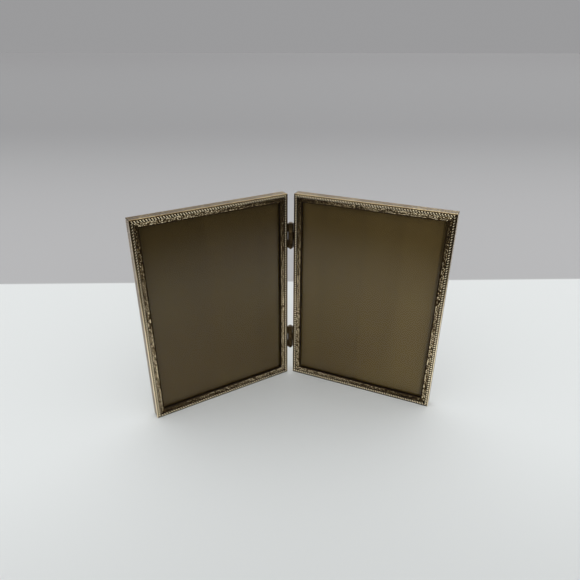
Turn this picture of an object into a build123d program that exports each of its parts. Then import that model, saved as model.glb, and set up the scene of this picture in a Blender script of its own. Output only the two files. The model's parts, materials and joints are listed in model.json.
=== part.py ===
from build123d import *
import os
from math import ceil, cos, radians, sin, sqrt

# A hinged double photo frame, standing open like a book. Two identical upright frames of pressed
# brass moulding, each with its glass, boards and turn buttons, are joined by two small butt hinges.
# Millimetres. The hinge line is upright, the frames open towards -Y, and the foot stands on z = 0.

# The glass is the standard 5 by 7 inch pane, and everything round it takes its size from it.
glass_width = 127.0
glass_height = 177.8
glass_thickness = 2.0
glass_side_gap = 0.5
glass_chamfer = 0.3

# The moulding's section. Widths run from the outer edge inwards, depths from the front backwards.
sheet = 0.6
flange_width = 5.0
edge_roll_width = 0.9
groove_depth = 0.8
bead_width = 2.2
bead_flank = 0.6
cove_width = 3.3
cove_front = 1.0
cove_back = 1.75
cove_hollow = 0.25
lip_width = 1.0
lip_rise = 0.25
glass_setback = 3.8

# The rope bead: slanted cuts turn it into strands that run the same way round the whole frame.
rope_pitch = 2.26
rope_cut_width = 0.9
rope_cut_depth = 0.45
rope_slant_degrees = 55.0

# What lies behind the glass. The moulding is as deep as the whole stack and its gap need.
insert_thickness = 0.3
filler_thickness = 1.6
backing_thickness = 1.5
stack_gap = 0.1
board_chamfer = 0.4

# The corner plates, soldered flat inside the rear flange across each mitre.
corner_plate_arm = 18.0
corner_plate_thickness = 0.8
corner_plate_margin = 0.3

# The turn buttons, one at the middle of each stile, and their rivets.
button_thickness = 0.6
button_end_radius = 2.1
button_tip_width = 3.4
button_reach = 9.0
button_gap = 0.1
button_tip_chamfer = 0.6
button_tab_height = 0.9
button_rivet_radius = 0.9
button_rivet_clearance = 0.05
button_rivet_head_radius = 1.7
button_rivet_head_height = 0.5

# The hinges, and the place of each from the nearer end of the frame.
hinge_length = 23.0
upper_hinge_from_top = 39.0
lower_hinge_from_foot = 42.5
leaf_thickness = 0.9
leaf_back_margin = 1.7
leaf_corner_radius = 0.8
pin_radius = 1.4
pin_clearance = 0.05
barrel_gap = 0.3
knuckle_gap = 0.15
pin_head_radius = 1.9
pin_head_height = 0.8
pin_tip_length = 1.4
pin_tip_radius = 1.0

# How the pair stands: the angle between the two fronts, and the gap when they close face to face.
opening_degrees = 125.0
closed_gap = 0.5

# Sizes worked out from those above.
outer_width = glass_width + 2 * (glass_side_gap + flange_width)
outer_height = glass_height + 2 * (glass_side_gap + flange_width)
edge_roll_radius = edge_roll_width / 2
edge_roll_front = groove_depth - edge_roll_radius
cove_start = edge_roll_width + bead_width
lip_start = cove_start + cove_width
face_width = lip_start + lip_width
insert_front = glass_setback + glass_thickness
filler_front = insert_front + insert_thickness
backing_front = filler_front + filler_thickness
backing_back = backing_front + backing_thickness
moulding_depth = backing_back + stack_gap
channel_front = cove_front + 2 * cove_hollow + sheet
flange_front = moulding_depth - sheet
button_pivot = flange_width / 2
button_front = moulding_depth + button_gap
rivet_head_front = button_front + button_thickness + button_gap
rivet_head_back = rivet_head_front + button_rivet_head_height
running_bore_radius = pin_radius + pin_clearance
barrel_radius = running_bore_radius + leaf_thickness
hinge_offset = barrel_radius + barrel_gap
hinge_ahead = closed_gap / 2
leaf_inner = hinge_offset - leaf_thickness
leaf_front = sqrt(hinge_offset**2 - leaf_inner**2) - hinge_ahead
leaf_back = moulding_depth - leaf_back_margin
knuckle_length = (hinge_length - 2 * knuckle_gap) / 3
hinge_heights = {"upper": outer_height - upper_hinge_from_top, "lower": lower_hinge_from_foot}

# The hinge line stands at x = 0, as far back as centres the whole pair on the origin.
half_opening = radians(opening_degrees / 2)
reach_in_front = (
    (hinge_offset + outer_width - edge_roll_radius) * cos(half_opening)
    - (hinge_ahead + groove_depth) * sin(half_opening)
    + edge_roll_radius
)
reach_behind = (hinge_ahead + rivet_head_back) * sin(half_opening) - (
    hinge_offset + button_pivot - button_rivet_head_radius
) * cos(half_opening)
hinge_y = (reach_in_front - reach_behind) / 2

# Each frame has its own axes: x across from its middle, y from the front backwards, z up from the
# foot. hinge_side is the side of the frame that faces the hinges, and the planes set the frames.
hinge_side = {"left": 1, "right": -1}
frame_planes = {}
for side, toward in hinge_side.items():
    across = Vector(sin(half_opening), toward * cos(half_opening), 0)
    backward = Vector(-toward * cos(half_opening), sin(half_opening), 0)
    middle = Vector(0, hinge_y, 0) - across * toward * (outer_width / 2 + hinge_offset)
    frame_planes[side] = Plane(origin=middle + backward * hinge_ahead, x_dir=across, z_dir=(0, 0, 1))

os.makedirs("parts", exist_ok=True)


def save(piece, name):
    """Name a finished piece and write it."""
    piece.label = name
    export_step(piece, f"parts/{name}.step")


def set_in(side, piece, name):
    """Set a piece, made in a frame's own axes, into the left or right frame, and save it."""
    with BuildPart() as placed:
        with Locations(frame_planes[side].location):
            add(piece)
    save(placed.part, f"{side}_{name}")


# The turn buttons' rivets, one in each stile: a shank through the rear flange, peened flush inside,
# and a head behind the button.
with BuildPart() as button_rivets:
    for stile_x in (button_pivot - outer_width / 2, outer_width / 2 - button_pivot):
        shank_foot = Plane((stile_x, flange_front, outer_height / 2), x_dir=(1, 0, 0), z_dir=(0, 1, 0))
        with BuildSketch(shank_foot):
            Circle(button_rivet_radius)
        extrude(amount=rivet_head_front - flange_front)
        with BuildSketch(shank_foot.offset(rivet_head_front - flange_front)):
            Circle(button_rivet_head_radius)
        extrude(amount=button_rivet_head_height)


# The moulding. Every length is the same section, cut with the rope's strands and then mitred.
def moulding(length):
    """One mitred length, lying as a bottom rail with its outer edge along z = 0."""
    slant = radians(rope_slant_degrees)
    cut_plane = Plane(
        origin=(0, 0, edge_roll_width + bead_width / 2),
        x_dir=(sin(slant), 0, cos(slant)),
        z_dir=(cos(slant), 0, -sin(slant)),
    )
    with BuildPart() as rope_cut:
        with BuildSketch(cut_plane):
            with BuildLine():
                Polyline(
                    (0, -rope_cut_depth),
                    (rope_cut_width, rope_cut_depth),
                    (-rope_cut_width, rope_cut_depth),
                    close=True,
                )
            make_face()
        extrude(amount=bead_width / 2 / sin(slant), both=True)

    with BuildPart() as bar:
        with BuildSketch(Plane.YZ):
            with BuildLine():
                RadiusArc((groove_depth, 0), (edge_roll_front, edge_roll_radius), edge_roll_radius)
                Polyline(
                    (edge_roll_front, edge_roll_radius),
                    (groove_depth, edge_roll_width),
                    (0, edge_roll_width + bead_flank),
                    (0, cove_start - bead_flank),
                    (cove_front, cove_start),
                )
                SagittaArc((cove_front, cove_start), (cove_back, lip_start), -cove_hollow)
                ThreePointArc(
                    (cove_back, lip_start),
                    (cove_back - lip_rise, lip_start + lip_width / 2),
                    (cove_back, face_width),
                )
                Polyline(
                    (cove_back, face_width),
                    (glass_setback, face_width),
                    (glass_setback, face_width - sheet),
                    (cove_back + sheet, face_width - sheet),
                    (channel_front, cove_start),
                    (channel_front, sheet),
                    (flange_front, sheet),
                    (flange_front, flange_width),
                    (moulding_depth, flange_width),
                    (moulding_depth, 0),
                    (groove_depth, 0),
                )
            make_face()
        extrude(amount=length / 2, both=True)
        with GridLocations(rope_pitch, 0, ceil(length / rope_pitch) + 1, 1):
            add(rope_cut.part, mode=Mode.SUBTRACT)
        for end in (1, -1):
            mitre = Plane(origin=(end * length / 2, 0, 0), z_dir=(end, 0, 1))
            split(bisect_by=mitre, keep=Keep.BOTTOM)
    return bar.part


short_bar = moulding(outer_width)
long_bar = moulding(outer_height)
bar_places = {
    "bottom_rail": (short_bar, Location((0, 0, 0))),
    "top_rail": (short_bar, Location((0, 0, outer_height), (0, 180, 0))),
    "left_stile": (long_bar, Location((-outer_width / 2, 0, outer_height / 2), (0, 90, 0))),
    "right_stile": (long_bar, Location((outer_width / 2, 0, outer_height / 2), (0, -90, 0))),
}
stile_names = {
    "left": {"left_stile": "outer_stile", "right_stile": "hinge_stile"},
    "right": {"left_stile": "hinge_stile", "right_stile": "outer_stile"},
}

for side in hinge_side:
    set_in(side, button_rivets.part, "button_rivets")
    for place_name, (bar, place) in bar_places.items():
        with BuildPart() as mitred_length:
            with Locations(place):
                add(bar)
            add(button_rivets.part, mode=Mode.SUBTRACT)
        set_in(side, mitred_length.part, stile_names[side].get(place_name, place_name))


# The corner plates: flat angles that lie against the walls and the inside of the rear flange.
def corner_plate(across_side, up_side):
    """The plate of one corner. The sides are -1 or 1, for left or right and for bottom or top."""
    plate_width = flange_width - sheet - corner_plate_margin
    x = across_side * (outer_width / 2 - sheet)
    z = outer_height / 2 + up_side * (outer_height / 2 - sheet)
    with BuildPart() as plate:
        with BuildSketch(Plane.XZ.offset(-flange_front)):
            with BuildLine():
                Polyline(
                    (x, z),
                    (x - across_side * corner_plate_arm, z),
                    (x - across_side * corner_plate_arm, z - up_side * plate_width),
                    (x - across_side * plate_width, z - up_side * plate_width),
                    (x - across_side * plate_width, z - up_side * corner_plate_arm),
                    (x, z - up_side * corner_plate_arm),
                    close=True,
                )
            make_face()
        extrude(amount=corner_plate_thickness)
    return plate.part


for side, toward in hinge_side.items():
    set_in(side, corner_plate(toward, 1), "corner_plate_top_hinge")
    set_in(side, corner_plate(-toward, 1), "corner_plate_top_outer")
    set_in(side, corner_plate(toward, -1), "corner_plate_bottom_hinge")
    set_in(side, corner_plate(-toward, -1), "corner_plate_bottom_outer")


# The pane and the boards behind it lie face to face, from the lip's edge back to the turn buttons.
def flat_piece(front, back, rim_chamfer):
    """A flat piece the size of the glass, between two depths, with its back rim chamfered or not."""
    with BuildPart() as flat:
        with BuildSketch(Plane.XZ.offset(-front)):
            with Locations((0, outer_height / 2)):
                Rectangle(glass_width, glass_height)
        extrude(amount=front - back)
        if rim_chamfer > 0:
            chamfer(flat.faces().sort_by(Axis.Y)[-1].edges(), rim_chamfer)
    return flat.part


for side in hinge_side:
    set_in(side, flat_piece(glass_setback, insert_front, glass_chamfer), "glass_pane")
    set_in(side, flat_piece(insert_front, filler_front, 0), "insert_sheet")
    set_in(side, flat_piece(filler_front, backing_front, 0), "filler_board")
    set_in(side, flat_piece(backing_front, backing_back, board_chamfer), "backing_board")


# The turn buttons: tapered tongues with a turned-up tab, each loose on its rivet.
def turn_button(stile_side):
    """The button of the left (-1) or right (1) stile, with its tongue over the backing board."""
    shoulder = button_reach - button_tip_chamfer
    tip_half = button_tip_width / 2
    pivot = (stile_side * (outer_width / 2 - button_pivot), button_front, outer_height / 2)
    seat = Plane(pivot, x_dir=(-stile_side, 0, 0), z_dir=(0, 1, 0))
    with BuildPart() as button:
        with BuildSketch(seat):
            with BuildLine():
                Polyline(
                    (0, button_end_radius),
                    (shoulder, tip_half),
                    (button_reach, tip_half - button_tip_chamfer),
                    (button_reach, button_tip_chamfer - tip_half),
                    (shoulder, -tip_half),
                    (0, -button_end_radius),
                )
                ThreePointArc((0, -button_end_radius), (-button_end_radius, 0), (0, button_end_radius))
            make_face()
            Circle(button_rivet_radius + button_rivet_clearance, mode=Mode.SUBTRACT)
        extrude(amount=button_thickness)
        with BuildSketch(seat.offset(button_thickness)):
            with Locations((shoulder - button_thickness / 2, 0)):
                Rectangle(button_thickness, button_tip_width - button_tip_chamfer)
        extrude(amount=button_tab_height)
    return button.part


for side, toward in hinge_side.items():
    set_in(side, turn_button(toward), "turn_button_hinge")
    set_in(side, turn_button(-toward), "turn_button_outer")


# The hinges. The outer knuckles grip the pin and belong to the left leaf, and the middle one turns
# on it with the right leaf. Each leaf lies flat on its stile's wall, behind the barrel's swing.
def hinge_leaf(toward, height, thirds, bore_radius):
    """A leaf on its stile, with knuckles at some of the thirds of its length, counted from below."""
    hinge_x = toward * (outer_width / 2 + hinge_offset)
    wall_x = toward * outer_width / 2
    leaf_x = wall_x + toward * leaf_thickness
    with BuildPart() as leaf:
        with BuildSketch(Plane.YZ.offset(wall_x)):
            with Locations(((leaf_front + leaf_back) / 2, height)):
                Rectangle(leaf_back - leaf_front, hinge_length)
        extrude(amount=toward * leaf_thickness)
        fillet(leaf.edges().filter_by(Axis.X).group_by(Axis.Y)[-1], leaf_corner_radius)
        for third in thirds:
            knuckle_foot = height - hinge_length / 2 + third * (knuckle_length + knuckle_gap)
            with BuildSketch(Plane.XY.offset(knuckle_foot)):
                with BuildLine():
                    Polyline(
                        (leaf_x, -hinge_ahead),
                        (hinge_x - toward * barrel_radius, -hinge_ahead),
                        (wall_x, leaf_front),
                        (leaf_x, leaf_front),
                        close=True,
                    )
                make_face()
                with Locations((hinge_x, -hinge_ahead)):
                    Circle(barrel_radius)
                    Circle(bore_radius, mode=Mode.SUBTRACT)
            extrude(amount=knuckle_length)
    return leaf.part


def hinge_pin(height):
    """A pin on the hinge line, with a low head on the top knuckle and a tapered tip below."""
    foot = Vector(0, hinge_y, height - hinge_length / 2)
    with BuildPart() as pin:
        with BuildSketch(Plane(foot, x_dir=(1, 0, 0), z_dir=(0, -1, 0))):
            with BuildLine():
                Polyline(
                    (0, hinge_length + pin_head_height),
                    (pin_head_radius, hinge_length + pin_head_height),
                    (pin_head_radius, hinge_length),
                    (pin_radius, hinge_length),
                    (pin_radius, 0),
                    (pin_tip_radius, -pin_tip_length),
                    (0, -pin_tip_length),
                    close=True,
                )
            make_face()
        revolve(axis=Axis(foot, (0, 0, 1)))
    return pin.part


for which, height in hinge_heights.items():
    fixed_leaf = hinge_leaf(hinge_side["left"], height, (0, 2), pin_radius)
    turning_leaf = hinge_leaf(hinge_side["right"], height, (1,), running_bore_radius)
    set_in("left", fixed_leaf, f"{which}_hinge_leaf")
    set_in("right", turning_leaf, f"{which}_hinge_leaf")
    save(hinge_pin(height), f"{which}_hinge_pin")

print(f"each frame is {outer_width:.1f} wide and {outer_height:.1f} high")
print(f"the hinge line is at y = {hinge_y:.4f}, half the opening is {opening_degrees / 2:.2f} degrees")
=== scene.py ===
import json
from math import cos, pi, radians, sin, tan
import bpy
import numpy as np
from mathutils import Matrix, Vector


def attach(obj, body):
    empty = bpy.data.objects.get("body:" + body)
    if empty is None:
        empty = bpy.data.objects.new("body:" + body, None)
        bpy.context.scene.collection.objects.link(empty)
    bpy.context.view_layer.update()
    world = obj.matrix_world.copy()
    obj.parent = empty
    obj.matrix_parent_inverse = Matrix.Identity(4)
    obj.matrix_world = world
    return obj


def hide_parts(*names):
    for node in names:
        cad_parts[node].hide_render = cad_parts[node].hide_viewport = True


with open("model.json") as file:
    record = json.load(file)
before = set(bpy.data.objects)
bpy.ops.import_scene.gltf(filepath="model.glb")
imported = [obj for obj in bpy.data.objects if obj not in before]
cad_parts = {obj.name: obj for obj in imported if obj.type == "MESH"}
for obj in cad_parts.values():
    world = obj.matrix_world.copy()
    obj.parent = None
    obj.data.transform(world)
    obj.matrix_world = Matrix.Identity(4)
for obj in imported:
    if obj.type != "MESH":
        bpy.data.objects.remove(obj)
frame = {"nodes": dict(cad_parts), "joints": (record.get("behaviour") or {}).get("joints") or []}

scene = bpy.context.scene
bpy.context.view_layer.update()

# The mouldings: four mitred lengths of pressed brass round each frame, with a smooth edge roll, a
# slanted rope, an engraved cove and a smooth lip. The brass is gold-plated, then darkened in its
# hollows and rubbed bright on its high places. Its lip is painted dark as painted shade, and each
# bar is painted brighter at one end than the other as painted reflection. The lengths are soldered
# at the mitres.
MM = 0.001
SHEET = 0.6
ROLL_WIDTH = 0.9
GROOVE_DEPTH = 0.8
ROPE_MIDDLE = 2.0
ROPE_PITCH = 2.26
ROPE_SLANT = radians(55)
ROPE_DEPTH = 0.5
STRAND_ROUNDNESS = 0.97
COVE_START = 3.1
COVE_FRONT = 1.0
COVE_BACK = 1.75
COVE_HOLLOW = 0.25
COVE_MARGIN = 0.25
COVE_ENGRAVING = 0.1
STIPPLE_DEPTH = 0.25
STIPPLE_WAVES = ((23.1, 11.3, 0), (13.7, -29.9, 17))
LIP_START = 6.4
LIP_CREST = 1.5
LIP_FOOT = (2.4, 3.1)
FACE_WIDTH = 7.4
GLASS_FRONT = 3.8
CHANNEL_FRONT = 2.1
FLANGE_WIDTH = 5.0
FLANGE_MIDDLE = 2.5
FLANGE_EDGE = 0.12
WALL_MARGIN = 0.9
WALL_PLAIN_EDGE = 0.2
WALL_ENGRAVING = 0.14
MITRE_ROUNDING = 0.09
MITRE_REACH = 0.3
COLUMN_STEP = 0.25
ROUND_POINTS = 8
ROPE_POINTS = 17
COVE_POINTS = 17
WALL_POINTS = 28
SHARP_ANGLE = radians(50)


def eased(value, low, high):
    """0 below low, 1 above high and a smooth rise between them."""
    share = np.clip((value - low) / (high - low), 0, 1)
    return share * share * (3 - 2 * share)


def frame_axes(side):
    """A frame's own axes: the middle of its foot at the front, then across, backward, size."""
    backward = next(
        Vector(j["axis"]) for j in frame["joints"] if j["name"] == f"{side}_outer_button_turn"
    ).normalized()
    across = backward.cross(Vector((0, 0, 1)))
    rails = [frame["nodes"][f"{side}_{bar}"] for bar in ("top_rail", "bottom_rail")]
    corners = np.array([vertex.co for rail in rails for vertex in rail.data.vertices])
    x, y = corners @ np.array(across), corners @ np.array(backward)
    foot = across * float(x.min() + x.max()) / 2 + backward * float(y.min())
    width, depth, height = float(np.ptp(x)), float(np.ptp(y)), float(corners[:, 2].max())
    return foot, across, backward, width / MM, depth / MM, height / MM


def section(depth):
    """The moulding's section as points round its outline. Each has its inset from the outer edge,
    its distance back from the front, and its zone."""
    points = []
    for turn in np.linspace(pi, 0, ROUND_POINTS):
        inset = ROLL_WIDTH / 2 * (1 + cos(turn))
        points.append((inset, GROOVE_DEPTH - ROLL_WIDTH / 2 * sin(turn), "roll"))
    for turn in np.linspace(-pi / 2, pi / 2, ROPE_POINTS)[1:-1]:
        inset = ROPE_MIDDLE + (COVE_START - ROPE_MIDDLE) * sin(turn)
        flank = GROOVE_DEPTH if turn < 0 else COVE_FRONT
        points.append((inset, flank * (1 - cos(turn)), "rope"))
    for share in np.linspace(0, 1, COVE_POINTS):
        inset = COVE_START + (LIP_START - COVE_START) * share
        hollow = COVE_HOLLOW * 4 * share * (1 - share)
        points.append((inset, COVE_FRONT + (COVE_BACK - COVE_FRONT) * share + hollow, "cove"))
    lip_half = (FACE_WIDTH - LIP_START) / 2
    for turn in np.linspace(pi, 0, ROUND_POINTS)[1:]:
        inset = LIP_START + lip_half * (1 + cos(turn))
        points.append((inset, COVE_BACK - (COVE_BACK - LIP_CREST) * sin(turn), "lip"))
    inner = FACE_WIDTH - SHEET
    flange = depth - SHEET
    for inset, back in (
        *((FACE_WIDTH, lip_back) for lip_back in LIP_FOOT),
        (FACE_WIDTH, GLASS_FRONT),
        (inner, GLASS_FRONT),
        (inner, COVE_BACK + SHEET),
        (COVE_START, CHANNEL_FRONT),
        (SHEET, CHANNEL_FRONT),
        (SHEET, flange),
        (FLANGE_WIDTH, flange),
        (FLANGE_WIDTH, depth - FLANGE_EDGE),
        (FLANGE_WIDTH - FLANGE_EDGE, depth),
        (FLANGE_MIDDLE, depth),
        (FLANGE_EDGE, depth),
    ):
        points.append((inset, back, "plain"))
    for back in np.linspace(depth - FLANGE_EDGE, GROOVE_DEPTH, WALL_POINTS)[:-1]:
        points.append((0.0, float(back), "wall"))
    return points


# The engraving's sizes, in widths of its band. An edge is a pair, where it starts and ends.
VINE_REPEAT = 2.5
STEM_SWING = 0.33
STEM_EDGE = (0.045, 0.1)
FLOWER_DROP = 0.12
FLOWER_SIZE = 0.23
FLOWER_EYE = (0.03, 0.07)
PETALS = 5
PETAL_DIP = 0.28
PETAL_EDGE = (0.8, 1.15)
LEAVES = ((0.42, -0.3, 0.5), (-0.42, -0.3, -0.5), (0.5, 0.36, -0.6), (-0.5, 0.36, 0.6))
LEAF_LENGTH = 0.23
LEAF_WIDTH = 0.1
LEAF_EDGE = (0.75, 1.1)
RIB_DEPTH = 0.45
RIB_EDGE = (0.01, 0.035)
BORDER_EDGE = (0.44, 0.47)


def vine(along, across):
    """The engraving, a running vine with a flower and leaves in each bend, 0 on its ground and 1 on
    top. Both distances are in widths of its band, and across runs from -0.5 to 0.5."""
    half_wave = VINE_REPEAT / 2
    bend = np.floor(along / half_wave)
    x = along - (bend + 0.5) * half_wave
    y = across * np.where(bend % 2 == 0, 1.0, -1.0)
    stem = 1 - eased(np.abs(y - STEM_SWING * np.cos(pi * x / half_wave)), *STEM_EDGE)
    reach = np.hypot(x, y + FLOWER_DROP)
    dip = PETAL_DIP * np.cos(PETALS * np.arctan2(y + FLOWER_DROP, x))
    petals = FLOWER_SIZE * (1 - PETAL_DIP + dip)
    flower = (1 - eased(reach / petals, *PETAL_EDGE)) * eased(reach, *FLOWER_EYE)
    high = np.maximum(stem, flower)
    for leaf_x, leaf_y, lean in LEAVES:
        far = (x - leaf_x) * cos(lean) + (y - leaf_y) * sin(lean)
        wide = (y - leaf_y) * cos(lean) - (x - leaf_x) * sin(lean)
        blade = np.hypot(far / LEAF_LENGTH, wide / LEAF_WIDTH)
        rib = RIB_DEPTH * (1 - eased(np.abs(wide), *RIB_EDGE))
        high = np.maximum(high, (1 - eased(blade, *LEAF_EDGE)) * (1 - rib))
    return np.maximum(high, eased(np.abs(across), *BORDER_EDGE))


# How rubbed each zone is, from 0 where it is dark to 1 or more where it is bright, and, in
# millimetres, the edges at which that changes. A strand's edge is in shares of the way from its
# crest to its groove.
ROLL_RUBBED = 0.56
ROLL_EDGE = (0.5, 0.78)
ROPE_RUBBED = 1.4
ROPE_EDGE = (0.72, 0.98)
STRAND_EDGE = (0.25, 0.6)
COVE_RUBBED = 0.17
COVE_EDGE = (0.15, 0.55)
VINE_RUBBED = 0.42
FLOWER_RUBBED = 0.16
FLOWER_EDGE = (0.5, 1.6)
# The lip is painted dark, as painted shade where the cove ends at the glass.
LIP_PAINTED_SHADE = 0.17
WALL_RUBBED = 0.31
WALL_VINE_RUBBED = 0.12
WALL_RIM_RUBBED = 0.2
WALL_RIM = 1.5
INSIDE_RUBBED = 0.05
FLANGE_RUBBED = 0.5
MITRE_RUBBED = 0.25
MITRE_EDGE = (0.05, 0.5)


def pressed_relief(zones, inset, back, along, depth):
    """How far the press has sunk each point below the section, and how rubbed it is."""
    strand = (along + (inset - ROPE_MIDDLE) / tan(ROPE_SLANT)) / ROPE_PITCH
    from_crest = np.abs(2 * (strand - np.floor(strand)) - 1)
    sunk_rope = ROPE_DEPTH * (1 - np.sqrt(1 - STRAND_ROUNDNESS * from_crest**2))
    on_crest = 1 - eased(from_crest, *STRAND_EDGE)
    rope_rubbed = ROPE_RUBBED * on_crest * (1 - eased(np.abs(inset - ROPE_MIDDLE), *ROPE_EDGE))

    ripple, cross_ripple = (
        np.sin(along * by_length + inset * by_inset + back * by_depth)
        for by_length, by_inset, by_depth in STIPPLE_WAVES
    )
    stippled = 1 - STIPPLE_DEPTH / 2 * (1 - ripple * cross_ripple)
    cove_width = LIP_START - COVE_START
    cove_high = vine(along / cove_width, (inset - COVE_START) / cove_width - 0.5)
    cove_inside = eased(inset, COVE_START, COVE_START + COVE_MARGIN) * eased(
        LIP_START - inset, 0, COVE_MARGIN
    )
    sunk_cove = COVE_ENGRAVING * cove_inside * (1 - cove_high) * stippled
    half_wave = cove_width * VINE_REPEAT / 2
    bends = along / half_wave
    on_flower = 1 - eased(np.abs(bends - np.floor(bends) - 0.5) * half_wave, *FLOWER_EDGE)
    cove_rubbed = COVE_RUBBED + cove_high * (VINE_RUBBED + FLOWER_RUBBED * on_flower)
    cove_rubbed = cove_rubbed * eased(inset - COVE_START, *COVE_EDGE)

    wall_width = depth - GROOVE_DEPTH - 2 * WALL_MARGIN
    wall_high = vine(along / wall_width, (back - GROOVE_DEPTH - WALL_MARGIN) / wall_width - 0.5)
    wall_inside = eased(back - GROOVE_DEPTH, WALL_PLAIN_EDGE, WALL_MARGIN) * eased(
        depth - back, WALL_PLAIN_EDGE, WALL_MARGIN
    )
    sunk_wall = WALL_ENGRAVING * wall_inside * (1 - wall_high) * stippled
    on_rim = 1 - eased(back - GROOVE_DEPTH, 0, WALL_RIM)
    on_vine = wall_high * wall_inside
    wall_rubbed = WALL_RUBBED + WALL_VINE_RUBBED * on_vine + WALL_RIM_RUBBED * on_rim

    roll_rubbed = ROLL_RUBBED * (1 - eased(inset, *ROLL_EDGE))
    sunk = np.select(
        [zones == "rope", zones == "cove", zones == "wall"], [sunk_rope, sunk_cove, sunk_wall], 0.0
    )
    rubbed = np.select(
        [zones == "rope", zones == "cove", zones == "wall", zones == "roll", zones == "lip"],
        [rope_rubbed, cove_rubbed, wall_rubbed, roll_rubbed, LIP_PAINTED_SHADE],
        np.where(back < depth / 2, INSIDE_RUBBED, FLANGE_RUBBED),
    )
    return sunk, rubbed


# The share of that wear which a bar keeps, which is partly wear and partly painted reflection.
# A stile's roll and cove are painted brighter at its foot and darker at its top, as painted
# reflection of the near table and the dim room. A bottom rail's cove is painted brightest next to
# the hinges, and a top rail's away from them, as painted reflection and shade.
ROLL_WEAR_AND_REFLECTION = {"top_rail": 0.72, "bottom_rail": 0.42, "outer_stile": 1.0, "hinge_stile": 0.65}
ROPE_WEAR_AND_REFLECTION = {"top_rail": 0.78, "bottom_rail": 0.78, "outer_stile": 0.84, "hinge_stile": 1.05}
FOOT_PAINTED_REFLECTION = 1.25
TOP_PAINTED_REFLECTION = 0.75
FOOT_REFLECTION_END = 0.3
STILE_COVE_WEAR_AND_REFLECTION = 0.82
RAIL_COVE_WEAR_AND_REFLECTION = 0.8
RAIL_COVE_REFLECTION_CHANGE = 0.32


def wear_and_painted_reflection(side, bar, x, z, width, height):
    """The share of wear and painted reflection that a bar's roll, cove and rope keep."""
    if "stile" in bar:
        # Painted reflection: a stile's roll and cove are brighter at its foot and darker at its
        # top.
        stile_painted_reflection = FOOT_PAINTED_REFLECTION - (FOOT_PAINTED_REFLECTION - TOP_PAINTED_REFLECTION) * eased(z / height, FOOT_REFLECTION_END, 1.0)
        return stile_painted_reflection * ROLL_WEAR_AND_REFLECTION[bar], stile_painted_reflection * STILE_COVE_WEAR_AND_REFLECTION, ROPE_WEAR_AND_REFLECTION[bar]
    # Painted reflection and shade: a rail's cove is brighter at one end and darker at the other.
    toward_hinges = x / (width / 2) * (1 if side == "left" else -1)
    painted_reflection_end = toward_hinges if bar == "bottom_rail" else -toward_hinges
    return ROLL_WEAR_AND_REFLECTION[bar], RAIL_COVE_WEAR_AND_REFLECTION + RAIL_COVE_REFLECTION_CHANGE * painted_reflection_end, ROPE_WEAR_AND_REFLECTION[bar]


def mitred_length(side, bar, place, finish):
    """One engraved length of moulding in place of its CAD node, riding on its frame."""
    node = f"{side}_{bar}"
    foot, across, backward, width, depth, height = frame_axes(side)
    length = width if "rail" in bar else height
    outline = section(depth)
    inset = np.array([p[0] for p in outline])
    back = np.array([p[1] for p in outline])
    zones = np.array([p[2] for p in outline])
    run_inset = np.roll(inset, -1) - np.roll(inset, 1)
    run_back = np.roll(back, -1) - np.roll(back, 1)
    run = np.hypot(run_inset, run_back)
    shares = np.linspace(-1, 1, round(length / COLUMN_STEP) + 1)[:, None]
    sunk, rubbed = pressed_relief(zones, inset, back, shares * (length / 2 - inset), depth)
    from_mitre = (1 - np.abs(shares)) * length / 2 + 0 * inset
    rounded = MITRE_ROUNDING * (1 - eased(from_mitre, 0.0, MITRE_REACH))
    sunk = sunk + np.where(zones != "plain", rounded, 0)
    sunk_inset = inset - run_back / run * sunk
    sunk_back = back + run_inset / run * sunk
    x, y, z = place(shares * (length / 2 - sunk_inset), sunk_back, sunk_inset, width, height)
    points = (
        np.array(foot)
        + x[..., None] * MM * np.array(across)
        + y[..., None] * MM * np.array(backward)
        + z[..., None] * MM * np.array((0.0, 0.0, 1.0))
    )
    rubbed = rubbed * (MITRE_RUBBED + (1 - MITRE_RUBBED) * eased(from_mitre, *MITRE_EDGE))
    rubbed = rubbed * np.select(
        [zones == "roll", zones == "cove", zones == "rope"],
        wear_and_painted_reflection(side, bar, x, z, width, height),
        1.0,
    )
    columns, rows = x.shape
    index = np.arange(columns * rows).reshape(columns, rows)
    after = np.roll(index, -1, axis=1)
    quads = np.stack([index[:-1], index[1:], after[1:], after[:-1]], axis=-1).reshape(-1, 4)
    ends = [index[0].tolist(), index[-1][::-1].tolist()]
    mesh = bpy.data.meshes.new(f"{node}_moulding")
    mesh.from_pydata(points.reshape(-1, 3).tolist(), [], quads.tolist() + ends)
    for layer, values in (("rubbed", rubbed), ("engraved", (zones == "cove") + 0 * rubbed)):
        attribute = mesh.attributes.new(layer, "FLOAT", "POINT")
        attribute.data.foreach_set("value", values.astype(np.float32).ravel())
    mesh.shade_smooth()
    mesh.set_sharp_from_angle(angle=SHARP_ANGLE)
    mesh.materials.append(finish)
    piece = bpy.data.objects.new(f"{node}_moulding", mesh)
    scene.collection.objects.link(piece)
    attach(piece, f"{side}_frame")
    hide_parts(node)


class Socket:
    """One socket of a finish, so that sums on it are written as plain Python."""

    def __init__(self, finish, socket):
        self.finish = finish
        self.socket = socket

    def reckon(self, operation, first, second):
        return self.finish.node("ShaderNodeMath", {"operation": operation}, {0: first, 1: second})

    def __add__(self, other):
        return self.reckon("ADD", self, other)

    def __sub__(self, other):
        return self.reckon("SUBTRACT", self, other)

    def __rsub__(self, other):
        return self.reckon("SUBTRACT", other, self)

    def __mul__(self, other):
        return self.reckon("MULTIPLY", self, other)


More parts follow.
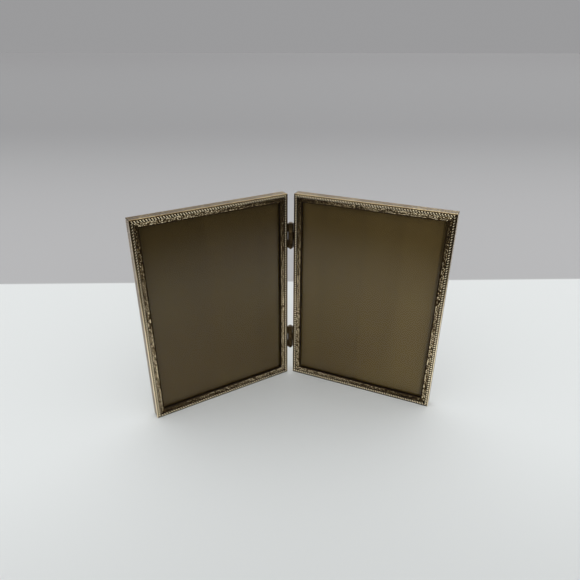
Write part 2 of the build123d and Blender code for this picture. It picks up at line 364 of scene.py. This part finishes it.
class Finish:
    """A material of the scene, its main shader, and the one way in which its nodes are added."""

    def __init__(self, name, owner=None, constants=None):
        self.owner = owner or bpy.data.materials.new(name)
        self.owner.use_nodes = True
        self.tree = self.owner.node_tree
        self.shader = self.tree.nodes.get("Principled BSDF") or self.tree.nodes.get("Background")
        for socket, value in (constants or {}).items():
            self.shader.inputs[socket].default_value = value

    def node(self, kind, settings=None, values=None, output=0):
        made = self.tree.nodes.new(kind)
        for setting, value in (settings or {}).items():
            if setting == "stops":
                while len(made.color_ramp.elements) < len(value):
                    made.color_ramp.elements.new(0.5)
                for element, (position, colour) in zip(made.color_ramp.elements, value):
                    element.position = position
                    element.color = (*colour, 1)
            else:
                setattr(made, setting, value)
        for socket, value in (values or {}).items():
            self.feed(made.inputs[socket], value)
        return Socket(self, made.outputs[output])

    def feed(self, socket, value):
        if isinstance(value, Socket):
            self.tree.links.new(value.socket, socket)
        else:
            socket.default_value = value

    def set(self, name, value):
        self.feed(self.shader.inputs[name], value)

    def place(self):
        return self.node("ShaderNodeTexCoord", output="Object")

    def noise(self, scale, detail=2.0, roughness=0.5):
        values = {"Scale": scale, "Detail": detail, "Roughness": roughness}
        return self.node("ShaderNodeTexNoise", values={"Vector": self.place(), **values})

    def ramp(self, value, stops):
        return self.node("ShaderNodeValToRGB", {"stops": stops}, {0: value})

    def level(self, value, low, high, to_low=0.0, to_high=1.0):
        values = {0: value, 1: low, 2: high, 3: to_low, 4: to_high}
        return self.node("ShaderNodeMapRange", {"interpolation_type": "SMOOTHSTEP"}, values)

    def mix(self, share, first, second):
        values = {0: share, 6: first, 7: second}
        return self.node("ShaderNodeMix", {"data_type": "RGBA"}, values, output=2)

    def bump(self, height, distance, strength=1.0):
        values = {"Strength": strength, "Distance": distance, "Height": height}
        self.set("Normal", self.node("ShaderNodeBump", values=values))


# From the darkened hollows, through brown, to the rubbed gold.
GOLD_SHADES = [
    (0.0, (0.008, 0.005, 0.003)),
    (0.35, (0.13, 0.079, 0.027)),
    (0.6, (0.47, 0.38, 0.19)),
    (0.75, (0.72, 0.59, 0.38)),
    (1.0, (0.98, 0.86, 0.60)),
]
antique_gold = Finish("antique_gold", constants={"Specular IOR Level": 0.05})
rubbed = antique_gold.node("ShaderNodeAttribute", {"attribute_name": "rubbed"}, output="Fac")
engraved = antique_gold.node("ShaderNodeAttribute", {"attribute_name": "engraved"}, output="Fac")
grains = antique_gold.level(antique_gold.noise(scale=760, detail=1), 0.4, 0.6)
clouds = antique_gold.noise(scale=60, detail=1)
uneven = (grains - 0.5) * (engraved * 0.8 + 0.15) + 1
shown = antique_gold.level(rubbed * uneven + (clouds - 0.5) * 0.15, 0.08, 0.85)
antique_gold.set("Base Color", antique_gold.ramp(shown, GOLD_SHADES))
antique_gold.set("Metallic", antique_gold.level(shown, 0.0, 0.3, to_low=0.1, to_high=1.0))
antique_gold.set("Roughness", 0.28 - shown * 0.12)

BARS = {
    "bottom_rail": lambda along, back, inset, width, height: (along, back, inset),
    "top_rail": lambda along, back, inset, width, height: (-along, back, height - inset),
    "left_stile": lambda along, back, inset, width, height: (
        inset - width / 2,
        back,
        height / 2 - along,
    ),
    "right_stile": lambda along, back, inset, width, height: (
        width / 2 - inset,
        back,
        height / 2 + along,
    ),
}
for side in ("left", "right"):
    for bar, place in BARS.items():
        if "stile" in bar:
            bar = "outer_stile" if bar.startswith(side) else "hinge_stile"
        mitred_length(side, bar, place, antique_gold.owner)


# The corner plates: flat angles of plain brass strip, soldered inside the rear flange across each
# mitre. They are as cut, dull and a little stained by the flux.
WELD_REACH = 0.002
EDGE_ANGLE = radians(35)


def carried_over(nodes, finish, edge=0.0):
    """Gives CAD nodes their finish, and a worn edge where they have one."""
    for node in nodes:
        piece = frame["nodes"][node]
        piece.data.materials.clear()
        piece.data.materials.append(finish.owner)
        if edge:
            weld = piece.modifiers.new("weld", "WELD")
            weld.merge_threshold = WELD_REACH * MM
            bevel = piece.modifiers.new("edge", "BEVEL")
            bevel.width = edge * MM
            bevel.segments = 2
            bevel.limit_method = "ANGLE"
            bevel.angle_limit = EDGE_ANGLE
            bevel.harden_normals = True


def aged_brass(name, bright, stained, roughness, scale):
    """Plain brass that has gone dull in patches, with fine rubbing marks."""
    finish = Finish(name, constants={"Metallic": 1.0})
    patches = finish.level(finish.noise(scale, detail=4, roughness=0.6), 0.35, 0.68)
    fine = finish.noise(scale * 9)
    finish.set("Base Color", finish.mix(patches, (*bright, 1), (*stained, 1)))
    finish.set("Roughness", patches * 0.15 + fine * 0.12 + roughness)
    finish.bump(fine, distance=0.00003, strength=0.5)
    return finish


plate_brass = aged_brass(
    "plate_brass",
    bright=(0.62, 0.47, 0.25),
    stained=(0.30, 0.20, 0.10),
    roughness=0.32,
    scale=240,
)
carried_over([n for n in frame["nodes"] if "corner_plate" in n], plate_brass)

# The panes: standard five by seven inch sheets of clear float glass, loose behind the lip, with
# their rims ground. Glass this thin shows what lies behind it and a soft reflection.
GLASS_IOR = 1.5
GLASS_CLEAR = (0.985, 0.995, 0.985, 1)
GLASS_GLOSS = (0.55, 0.55, 0.55, 1)
pane_glass = Finish("pane_glass")
pane_glass.tree.nodes.remove(pane_glass.shader)
seen_front = 1 - pane_glass.node("ShaderNodeNewGeometry", output="Backfacing")
gloss_share = pane_glass.node("ShaderNodeFresnel", values={"IOR": GLASS_IOR}) * seen_front
clear = pane_glass.node("ShaderNodeBsdfTransparent", values={"Color": GLASS_CLEAR})
gloss = pane_glass.node("ShaderNodeBsdfGlossy", values={"Color": GLASS_GLOSS, "Roughness": 0.03})
pane = pane_glass.node("ShaderNodeMixShader", values={0: gloss_share, 1: clear, 2: gloss})
pane_glass.feed(pane_glass.tree.nodes["Material Output"].inputs["Surface"], pane)
carried_over([n for n in frame["nodes"] if n.endswith("glass_pane")], pane_glass)

# The insert sheets: plain brown paper behind each pane, matt and a little mottled, with painted
# shade that darkens it toward its top. No picture is in the frames.
PAPER_DARK = (0.120, 0.077, 0.025, 1)
PAPER_LIGHT = (0.136, 0.093, 0.031, 1)
PAPER_TOP_SHADE = (0.090, 0.058, 0.019, 1)
brown_paper = Finish("brown_paper", constants={"Roughness": 0.85, "Specular IOR Level": 0.1})
broad = brown_paper.noise(scale=9)
fibres = brown_paper.noise(scale=1400, detail=3)
tone = brown_paper.level(broad + (fibres - 0.5) * 0.15, 0.3, 0.7)
paper = brown_paper.mix(tone, PAPER_DARK, PAPER_LIGHT)
up_sheet = brown_paper.node("ShaderNodeSeparateXYZ", values={0: brown_paper.place()}, output="Z")
# Painted shade: the upper half of each sheet is painted darker.
painted_top_shade = brown_paper.level(up_sheet, 90 * MM, 180 * MM)
brown_paper.set("Base Color", brown_paper.mix(painted_top_shade, paper, PAPER_TOP_SHADE))
carried_over([n for n in frame["nodes"] if n.endswith("insert_sheet")], brown_paper)

# The filler boards: grey pulp board that takes up the depth between the sheet and the backing.
# They are die-cut and lie loose.
PULP_LIGHT = (0.30, 0.26, 0.20, 1)
PULP_DARK = (0.20, 0.17, 0.13, 1)
grey_board = Finish("grey_board", constants={"Roughness": 0.9, "Specular IOR Level": 0.2})
pulp = grey_board.noise(scale=700, detail=4, roughness=0.7)
grey_board.set("Base Color", grey_board.mix(pulp, PULP_LIGHT, PULP_DARK))
grey_board.bump(pulp, distance=0.00006, strength=0.5)
carried_over([n for n in frame["nodes"] if n.endswith("filler_board")], grey_board)

# The backing boards: stiff card covered in dark brown woven cloth, turned over at the rim and
# glued. The turn buttons press on them.
CLOTH_DARK = (0.022, 0.012, 0.007, 1)
CLOTH_LIGHT = (0.085, 0.052, 0.032, 1)
backing_cloth = Finish(
    "backing_cloth", constants={"Roughness": 0.8, "Sheen Weight": 0.3, "Specular IOR Level": 0.2}
)
weave = {"Vector": backing_cloth.place(), "Scale": 560, "Distortion": 0.8}
warp, weft = (
    backing_cloth.node("ShaderNodeTexWave", {"bands_direction": direction}, weave, "Fac")
    for direction in ("DIAGONAL", "Z")
)
thread = warp * weft
slub = backing_cloth.noise(scale=120, detail=3)
shade = thread * 0.6 + slub * 0.4
backing_cloth.set("Base Color", backing_cloth.mix(shade, CLOTH_DARK, CLOTH_LIGHT))
backing_cloth.bump(thread, distance=0.00015, strength=0.8)
carried_over([n for n in frame["nodes"] if n.endswith("backing_board")], backing_cloth)

# The turn buttons and their rivets: tapered tongues of plain brass with a turned-up tab, each
# loose on a peened rivet in the rear flange, and rubbed where a thumb pushes them.
WORN_EDGE = 0.12
button_brass = aged_brass(
    "button_brass",
    bright=(0.70, 0.53, 0.28),
    stained=(0.34, 0.23, 0.11),
    roughness=0.24,
    scale=420,
)
button_nodes = [n for n in frame["nodes"] if "turn_button" in n or n.endswith("rivets")]
carried_over(button_nodes, button_brass, WORN_EDGE)

# The hinges: two small butt hinges of aged brass, painted very dark as painted shade where they
# sit between the frames, with leaves soldered to the stiles' walls and a pin with a low head in
# each.
hinge_brass = aged_brass(
    "hinge_brass",
    bright=(0.13, 0.088, 0.04),
    stained=(0.015, 0.01, 0.006),
    roughness=0.34,
    scale=600,
)
hinge_nodes = [n for n in frame["nodes"] if "hinge_leaf" in n or n.endswith("hinge_pin")]
carried_over(hinge_nodes, hinge_brass, WORN_EDGE)

# The table top and the wall behind it, plain and pale, with painted shade that darkens the table
# toward the front. Metal and glass see both white, and see the table end, and a dim room begin, a
# little in front of the frames. A pair of distances, in metres, is where a colour starts to change
# and where it has changed.
TABLE_HALF = 9
TABLE_BACK = 0.239
TABLE_SKEW = 0.041
TABLE_LINE = 0.002
TABLE_PALE = (0.76, 0.785, 0.785, 1)
TABLE_FRONT_SHADE = (0.63, 0.65, 0.65, 1)
WALL_NEAR = (0.45, 0.45, 0.458, 1)
WALL_MIDDLE = (0.28, 0.28, 0.286, 1)
WALL_FAR = (0.244, 0.242, 0.248, 1)
ROOM_DIM = (0.03, 0.026, 0.022, 1)
NEAR_TO_MIDDLE = (0.2, 1.6)
MIDDLE_TO_FAR = (1.6, 8)
PALE_TO_FRONT = (-0.08, -0.3)
MIRRORED_OVAL = (0.7, 1, 0)
MIRRORED_TO_DIM = (0.16, 0.4)
BACK_TO_FRONT = (0.05, -0.05)
corners = [(x * TABLE_HALF, y * TABLE_HALF, 0) for x, y in ((-1, -1), (1, -1), (1, 1), (-1, 1))]
floor_mesh = bpy.data.meshes.new("table_top")
floor_mesh.from_pydata(corners, [], [(0, 1, 2, 3)])
floor = bpy.data.objects.new("table_top", floor_mesh)
scene.collection.objects.link(floor)
table_paint = Finish("table_paint", constants={"Roughness": 0.7, "Specular IOR Level": 0.2})
ground = table_paint.node("ShaderNodeNewGeometry", output="Position")
ground_x = table_paint.node("ShaderNodeSeparateXYZ", values={0: ground}, output="X")
ground_y = table_paint.node("ShaderNodeSeparateXYZ", values={0: ground}, output="Y")
behind = ground_y + ground_x * TABLE_SKEW
wall_far = table_paint.mix(table_paint.level(behind, *MIDDLE_TO_FAR), WALL_MIDDLE, WALL_FAR)
wall_paint = table_paint.mix(table_paint.level(behind, *NEAR_TO_MIDDLE), WALL_NEAR, wall_far)
past_back = table_paint.level(behind, TABLE_BACK - TABLE_LINE, TABLE_BACK + TABLE_LINE)
table_colour = table_paint.mix(past_back, TABLE_PALE, wall_paint)
# Painted shade: the table is painted darker toward the front.
painted_front_shade = table_paint.level(ground_y, *PALE_TO_FRONT)
table_colour = table_paint.mix(painted_front_shade, table_colour, TABLE_FRONT_SHADE)
mirrored = table_paint.node("ShaderNodeLightPath", output="Is Glossy Ray")
table_colour = table_paint.mix(mirrored, table_colour, (1, 1, 1, 1))
oval = {0: ground, 1: MIRRORED_OVAL}
away = table_paint.node("ShaderNodeVectorMath", {"operation": "MULTIPLY"}, oval)
away = table_paint.node("ShaderNodeVectorMath", {"operation": "LENGTH"}, {0: away}, "Value")
in_front = table_paint.level(ground_y, *BACK_TO_FRONT)
table_end = table_paint.level(away, *MIRRORED_TO_DIM) * mirrored * in_front
table_paint.set("Base Color", table_paint.mix(table_end, table_colour, ROOM_DIM))
floor_mesh.materials.append(table_paint.owner)

# The light: a pale, even room. Metal and glass see it bright above, uneven to the sides and behind,
# and dim in front. The camera sees a plain grey that goes on from the wall. A pair is the direction
# in which a light starts to change and the one in which it has changed.
EVEN_LIGHT = (1.0, 1.0, 1.0, 1)
FRONT_LIGHT = (1.08, 1.08, 1.08, 1)
DULL_SIDE = (0.75, 0.75, 0.75, 1)
BRIGHT_SIDE = (1.25, 1.25, 1.25, 1)
CEILING = (2.2, 2.2, 2.2, 1)
DIM_FRONT = (0.04, 0.036, 0.03, 1)
BACKDROP = (0.326, 0.325, 0.331, 1)
TOWARD_FRONT = (-0.4, -0.82)
ROUND_SIDES = (-0.3, 0.3)
TOWARD_CEILING = (0.55, 0.8)
BELOW_CEILING = (0.8, 0.6)
world = bpy.data.worlds.new("room")
scene.world = world
world.cycles.sampling_method = "NONE"
room = Finish("room", owner=world)
way = room.node("ShaderNodeTexCoord", output="Generated")
way_x, way_y, way_z = (
    room.node("ShaderNodeSeparateXYZ", values={0: way}, output=axis) for axis in "XYZ"
)
front = room.level(way_y, *TOWARD_FRONT)
even_light = room.mix(front, EVEN_LIGHT, FRONT_LIGHT)
mirrored_room = room.mix(room.level(way_x * way_y, *ROUND_SIDES), DULL_SIDE, BRIGHT_SIDE)
mirrored_room = room.mix(room.level(way_z, *TOWARD_CEILING), mirrored_room, CEILING)
dim_share = front * room.level(way_z, *BELOW_CEILING)
mirrored_room = room.mix(dim_share, mirrored_room, DIM_FRONT)
mirrored = room.node("ShaderNodeLightPath", output="Is Glossy Ray")
light = room.mix(mirrored, even_light, mirrored_room)
seen = room.node("ShaderNodeLightPath", output="Is Camera Ray")
room.set("Color", room.mix(seen, light, BACKDROP))

# The camera, where the photograph was taken from, in front of the frames and looking down at them.
# Its place and lens come from fitting the frames' eight front corners.
CAMERA_PLACE = (-0.0304, -0.3981, 0.3134)
CAMERA_TURN = radians(-4.03)
CAMERA_DOWN = radians(27.13)
CAMERA_ROLL = radians(0.22)
camera_data = bpy.data.cameras.new("camera")
camera_data.sensor_width = 36
camera_data.lens = 31.227
camera = bpy.data.objects.new("camera", camera_data)
camera.matrix_world = (
    Matrix.Translation(CAMERA_PLACE)
    @ Matrix.Rotation(CAMERA_TURN, 4, "Z")
    @ Matrix.Rotation(radians(90) - CAMERA_DOWN, 4, "X")
    @ Matrix.Rotation(CAMERA_ROLL, 4, "Z")
)
scene.collection.objects.link(camera)
scene.camera = camera
scene.view_settings.view_transform = "Standard"
